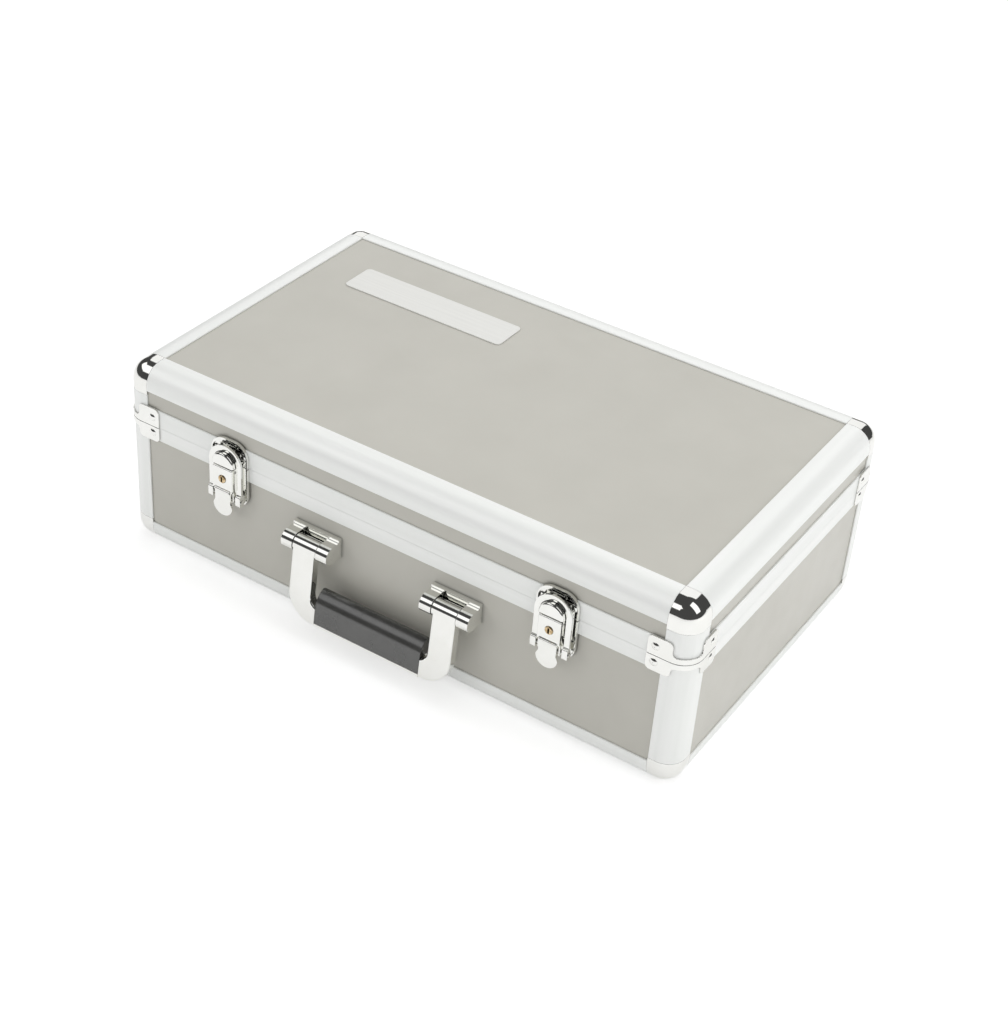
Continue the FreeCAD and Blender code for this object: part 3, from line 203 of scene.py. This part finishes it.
def brass_material():
    """Turned brass with a blotched tarnish, and painted shade that darkens its hollows."""
    made = Shader("lock_brass", linear(200, 176, 130), 0.2, 1.0)
    made.colour(made.noise(500, 4), linear(172, 142, 100), linear(228, 206, 168))
    # Painted shade: the brass darkens in the keyway and round the plug.
    made.paint_shade_in_hollows(0.002, 0.1, 0.3, 0.8)
    made.gloss(made.noise(900, 3), 0.14, 0.3)
    made.relief(made.noise(1500, 2), 0.00002, 0.4, 0.0002)
    return made.material


def rubber_material():
    """Dark grey moulded rubber, smooth and waxy with a faint grain."""
    made = Shader("grip_rubber", linear(62, 62, 60), 0.2, Specular_IOR_Level=0.7, IOR=1.75)
    made.colour(made.noise(60, 5), linear(57, 57, 55), linear(66, 66, 64))
    made.gloss(made.noise(300, 3), 0.17, 0.25)
    made.relief(made.noise(900, 3), 0.00002, 0.1, 0.0006)
    return made.material


def badge_material():
    """The bare plate: satin metal brushed along its length."""
    made = Shader("badge_satin", linear(236, 236, 232), 0.34, 0.3)
    lines = made.noise(500, 4, (0.03, 1, 1))
    made.colour(lines, linear(233, 233, 229), linear(238, 238, 234))
    made.gloss(lines, 0.28, 0.38)
    made.relief(lines, 0.000008, 0.2, 0.0003)
    return made.material


def foam_material():
    """Charcoal open cell foam: small dark pores over a soft, dull body."""
    made = Shader("foam_charcoal", linear(54, 54, 57), 0.95, Specular_IOR_Level=0.2, Sheen_Weight=0.25)
    pores = made.cells(1600)
    made.colour(made.add(pores, made.noise(30, 4)), linear(34, 34, 36), linear(70, 70, 74), 0.5, 1.2)
    made.relief(pores, 0.0004, 0.8)
    return made.material


LAMINATE = laminate_material()
PROFILES = {
    "x": profile_material("profile_along_x", (0.02, 1, 1)),
    "y": profile_material("profile_along_y", (1, 0.02, 1)),
    "z": profile_material("profile_along_z", (1, 1, 0.02)),
}
CAP_CHROME = chrome_material("cap_chrome", 246, 0.03, 0.1, 0.0004)
FITTING_CHROME = chrome_material("fitting_chrome", 245, 0.045, 0.2, 0.0003)
STEEL = chrome_material("plated_steel", 196, 0.3, 0.5, 0.0003)
BRASS = brass_material()
RUBBER = rubber_material()
BADGE = badge_material()
FOAM = foam_material()

RUN_AXES = {"front": "x", "back": "x", "left": "y", "right": "y"}


def material_of(name, slot):
    """The material of a carried-over node: profiles take the one that runs along them."""
    if slot == "profile_aluminium":
        return PROFILES[RUN_AXES.get(name.rsplit("_", 1)[-1], "z")]
    return {
        "laminate": LAMINATE, "cap_chrome": CAP_CHROME, "fitting_chrome": FITTING_CHROME,
        "plated_steel": STEEL, "lock_brass": BRASS, "grip_rubber": RUBBER, "badge_satin": BADGE, "foam": FOAM,
    }[slot]


SLOTS = {part["node"]: part["material_slot"] for part in frame["record"]["subparts"]}
for name, node in NODES.items():
    node.data.materials.clear()
    node.data.materials.append(material_of(name, SLOTS[name]))


def new_piece(name, vertices, faces, material, smooth=True):
    mesh = bpy.data.meshes.new(name)
    mesh.from_pydata([tuple(v) for v in vertices], [], faces)
    mesh.validate()
    mesh.materials.append(material)
    piece = bpy.data.objects.new(name, mesh)
    bpy.context.scene.collection.objects.link(piece)
    if smooth:
        for polygon in mesh.polygons:
            polygon.use_smooth = True
    return piece


FOAM_STEP = 0.004
CRATE_STEP = 0.0028
CRATE_PITCH = 0.028
CRATE_DEPTH = 0.3
SOFT_SWELL = 0.0004
ROUND_REACH = 0.25
ROUND_DROP = 0.12


def foam_slab(name, low, high, face, step, relief):
    """A closed foam pad between two corners. Its face on one side of one axis takes the relief."""
    axis, side = face
    low, high = np.array(low), np.array(high)
    u, v = [other for other in range(3) if other != axis]
    counts = [max(4, int(round((high[k] - low[k]) / step))) for k in (u, v)]
    a = np.linspace(low[u], high[u], counts[0] + 1)
    b = np.linspace(low[v], high[v], counts[1] + 1)
    grid_u, grid_v = np.meshgrid(a, b, indexing="ij")
    depth = high[axis] - low[axis]
    inset = np.minimum.reduce([grid_u - low[u], high[u] - grid_u, grid_v - low[v], high[v] - grid_v])
    round_over = np.clip(1 - inset / (depth * ROUND_REACH), 0, 1) ** 2 * depth * ROUND_DROP
    drop = relief(grid_u, grid_v, depth) + round_over
    shape = grid_u.shape
    tops = np.zeros(shape + (3,))
    tops[..., u], tops[..., v] = grid_u, grid_v
    tops[..., axis] = high[axis] - drop if side > 0 else low[axis] + drop
    bottoms = tops.copy()
    bottoms[..., axis] = low[axis] if side > 0 else high[axis]
    vertices = np.concatenate([tops.reshape(-1, 3), bottoms.reshape(-1, 3)])
    rows, columns = shape
    half = rows * columns
    index = np.arange(half).reshape(shape)
    faces = []
    for i in range(rows - 1):
        for j in range(columns - 1):
            quad = (index[i, j], index[i + 1, j], index[i + 1, j + 1], index[i, j + 1])
            faces.append(quad)
            faces.append(tuple(half + k for k in reversed(quad)))
    rim = (
        [(i, 0) for i in range(rows - 1)] + [(rows - 1, j) for j in range(columns - 1)]
        + [(i, columns - 1) for i in range(rows - 1, 0, -1)] + [(0, j) for j in range(columns - 1, 0, -1)]
    )
    for here, there in zip(rim, rim[1:] + rim[:1]):
        first, second = index[here], index[there]
        faces.append((second, first, half + first, half + second))
    faces = [tuple(int(k) for k in f) for f in faces]
    piece = new_piece(name, vertices, faces, FOAM)
    return piece


def egg_crate(grid_u, grid_v, depth):
    """Drop of a convoluted face: rows of rounded peaks between rounded hollows."""
    wave = np.sin(2 * math.pi * grid_u / CRATE_PITCH) * np.sin(2 * math.pi * grid_v / CRATE_PITCH)
    return depth * CRATE_DEPTH * (1 - wave)


def soft_face(grid_u, grid_v, depth):
    """Drop of a flat foam face: a shallow unevenness."""
    swell = np.sin(grid_u * 31 + 1.3) * np.sin(grid_v * 43 + 0.4) + np.sin(grid_u * 11) * np.cos(grid_v * 17)
    return SOFT_SWELL * (1 + swell / 2)


def box_of(name):
    low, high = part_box(name)
    return tuple(low), tuple(high)


lid_low, lid_high = box_of("lid_foam_pad")
lid_pad = foam_slab("lid_egg_crate_foam", lid_low, lid_high, (2, -1), CRATE_STEP, egg_crate)
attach(lid_pad, "lid")
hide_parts("lid_foam_pad")

floor_low, floor_high = box_of("base_floor_pad")
floor_pad = foam_slab("base_floor_foam", floor_low, floor_high, (2, 1), FOAM_STEP, soft_face)
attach(floor_pad, "base")
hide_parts("base_floor_pad")

lining_low, lining_high = box_of("base_side_lining")
LINING = 0.006
LINING_GAP = 0.0003
linings = {
    "front": ((lining_low[0], lining_low[1], lining_low[2]),
              (lining_high[0], lining_low[1] + LINING, lining_high[2]), (1, 1)),
    "back": ((lining_low[0], lining_high[1] - LINING, lining_low[2]),
             (lining_high[0], lining_high[1], lining_high[2]), (1, -1)),
    "left": ((lining_low[0], lining_low[1] + LINING + LINING_GAP, lining_low[2]),
             (lining_low[0] + LINING, lining_high[1] - LINING - LINING_GAP, lining_high[2]), (0, 1)),
    "right": ((lining_high[0] - LINING, lining_low[1] + LINING + LINING_GAP, lining_low[2]),
              (lining_high[0], lining_high[1] - LINING - LINING_GAP, lining_high[2]), (0, -1)),
}
for side, (low, high, face) in linings.items():
    lining = foam_slab("base_lining_" + side, low, high, face, FOAM_STEP, soft_face)
    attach(lining, "base")
    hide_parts("base_side_lining")


CAMERA_PLACE = (0.62292, -1.04073, 0.92289)
CAMERA_FORWARD = (-0.41388, 0.69962, -0.58243)
CAMERA_RIGHT = (0.83427, 0.54753, 0.06486)
CAMERA_LENS = 70.05

STUDIO_FILL = 0.62
STUDIO_DIM = 0.06
HORIZON_START, HORIZON_END = -0.01, 0.005
FLOOR_GLOW = {"Is Camera Ray": 0.42, "Is Glossy Ray": 0.2}
FLOOR_TONE = 0.9
FLOOR_REACH = 8.0
# Azimuth and elevation in degrees, half width and half height as tangents, and brightness.
SOFTBOXES = (
    (-21, 36, 0.44, 0.40, 1.0),
    (-123, 44, 0.54, 0.19, 1.2),
    (90, 50, 0.22, 0.48, 1.2),
)
# Name, place, the point that it faces, width and height in metres, and power in watts.
LAMPS = (
    ("top_soft", (0.05, 0.45, 1.9), (0, 0, 0.1), (1.6, 1.2), 9.1),
    ("right_soft", (1.9, 0.0, 0.9), (0, 0, 0.08), (1.2, 1.0), 8.1),
    ("front_soft", (-1.2, -1.7, 1.0), (-0.1, 0, 0.08), (1.2, 0.8), 4.6),
)


def camera():
    """The photograph's view: where it was taken from, which way it looks and its slight roll."""
    data = bpy.data.cameras.new("camera")
    data.sensor_width = 36
    data.lens = CAMERA_LENS
    data.clip_end = 20
    item = bpy.data.objects.new("camera", data)
    forward = Vector(CAMERA_FORWARD).normalized()
    right = Vector(CAMERA_RIGHT)
    right = (right - forward * right.dot(forward)).normalized()
    up = right.cross(forward)
    turn = Matrix((right, up, -forward)).transposed().to_4x4()
    item.matrix_world = Matrix.Translation(CAMERA_PLACE) @ turn
    bpy.context.scene.collection.objects.link(item)
    bpy.context.scene.camera = item


def area_light(name, place, target, size, power):
    """A soft rectangular lamp that mirrors don't show, because the world holds what they show."""
    data = bpy.data.lights.new(name, "AREA")
    data.shape = "RECTANGLE"
    data.size, data.size_y = size
    data.energy = power
    item = bpy.data.objects.new(name, data)
    item.location = place
    item.rotation_euler = (Vector(target) - Vector(place)).to_track_quat("-Z", "Y").to_euler()
    item.visible_glossy = False
    bpy.context.scene.collection.objects.link(item)


class Sky:
    """The world's nodes: what a ray that leaves the scene sees, by its direction."""

    def __init__(self):
        world = bpy.data.worlds.new("studio")
        bpy.context.scene.world = world
        world.use_nodes = True
        self.tree = world.node_tree
        self.tree.nodes.clear()
        self.direction = self.tree.nodes.new("ShaderNodeTexCoord").outputs["Generated"]
        self.rays = self.tree.nodes.new("ShaderNodeLightPath").outputs

    def calculate(self, operation, *inputs):
        node = self.tree.nodes.new("ShaderNodeMath")
        node.operation = operation
        for socket, value in zip(node.inputs, inputs):
            if isinstance(value, (int, float)):
                socket.default_value = value
            else:
                self.tree.links.new(value, socket)
        return node.outputs[0]

    def along(self, axis):
        node = self.tree.nodes.new("ShaderNodeVectorMath")
        node.operation = "DOT_PRODUCT"
        self.tree.links.new(self.direction, node.inputs[0])
        node.inputs[1].default_value = axis
        return node.outputs["Value"]

    def fade(self, value, start, end):
        """One up to the start and zero beyond the end."""
        node = self.tree.nodes.new("ShaderNodeMapRange")
        node.interpolation_type = "SMOOTHSTEP"
        for socket, number in (("From Min", start), ("From Max", end), ("To Min", 1.0), ("To Max", 0.0)):
            node.inputs[socket].default_value = number
        self.tree.links.new(value, node.inputs["Value"])
        return node.outputs["Result"]

    def softbox(self, azimuth, elevation, half_width, half_height, strength, edge=0.05):
        """A rectangle of light in a direction, azimuth 0 lying towards +Y and 90 towards +X."""
        a, e = math.radians(azimuth), math.radians(elevation)
        axis = Vector((math.sin(a) * math.cos(e), math.cos(a) * math.cos(e), math.sin(e)))
        side = Vector((math.cos(a), -math.sin(a), 0))
        ahead = self.along(axis)
        facing = self.fade(self.calculate("MULTIPLY", ahead, -1.0), -0.05, 0.0)
        level = self.calculate("MULTIPLY", facing, strength)
        for across, reach in ((side, half_width), (side.cross(axis), half_height)):
            offset = self.calculate("ABSOLUTE", self.calculate("DIVIDE", self.along(across), ahead))
            level = self.calculate("MULTIPLY", level, self.fade(offset, reach, reach + edge))
        return level

    def background(self, level):
        node = self.tree.nodes.new("ShaderNodeBackground")
        node.inputs["Color"].default_value = (1, 1, 1, 1)
        if isinstance(level, (int, float)):
            node.inputs["Strength"].default_value = level
        else:
            self.tree.links.new(level, node.inputs["Strength"])
        return node.outputs[0]

    def choose(self, factor, otherwise, chosen):
        node = self.tree.nodes.new("ShaderNodeMixShader")
        self.tree.links.new(factor, node.inputs["Fac"])
        self.tree.links.new(otherwise, node.inputs[1])
        self.tree.links.new(chosen, node.inputs[2])
        return node.outputs[0]


def world():
    """White to the eye, and to bright metal a dim studio with softboxes round a white horizon."""
    sky = Sky()
    mirrored = sky.fade(sky.along((0, 0, 1)), HORIZON_START, HORIZON_END)
    for box in SOFTBOXES:
        mirrored = sky.calculate("MAXIMUM", mirrored, sky.softbox(*box))
    mirrored = sky.calculate("MAXIMUM", mirrored, STUDIO_DIM)
    seen = sky.choose(sky.rays["Is Glossy Ray"], sky.background(STUDIO_FILL), sky.background(mirrored))
    white = sky.calculate("MAXIMUM", sky.rays["Is Camera Ray"], sky.rays["Is Transmission Ray"])
    output = sky.tree.nodes.new("ShaderNodeOutputWorld")
    sky.tree.links.new(sky.choose(white, seen, sky.background(1.0)), output.inputs["Surface"])


def floor():
    """A plain pale floor that keeps a soft shadow round the object."""
    made = Shader("floor_white", (FLOOR_TONE, FLOOR_TONE, FLOOR_TONE, 1), 0.9, Emission_Color=(1, 1, 1, 1))
    rays = made.node("ShaderNodeLightPath").outputs
    glows = []
    for ray, strength in FLOOR_GLOW.items():
        glow = made.node("ShaderNodeMath", operation="MULTIPLY")
        glow.inputs[1].default_value = strength
        made.link(rays[ray], glow.inputs[0])
        glows.append(glow.outputs["Value"])
    brighter = made.node("ShaderNodeMath", operation="MAXIMUM")
    for glow, socket in zip(glows, brighter.inputs):
        made.link(glow, socket)
    made.link(brighter.outputs["Value"], made.shader.inputs["Emission Strength"])
    reach = FLOOR_REACH
    corners = [(-reach, -reach, 0), (reach, -reach, 0), (reach, reach, 0), (-reach, reach, 0)]
    new_piece("floor", corners, [(0, 1, 2, 3)], made.material, smooth=False)


camera()
world()
floor()
for lamp in LAMPS:
    area_light(*lamp)

scene = bpy.context.scene
scene.view_settings.view_transform = "Standard"
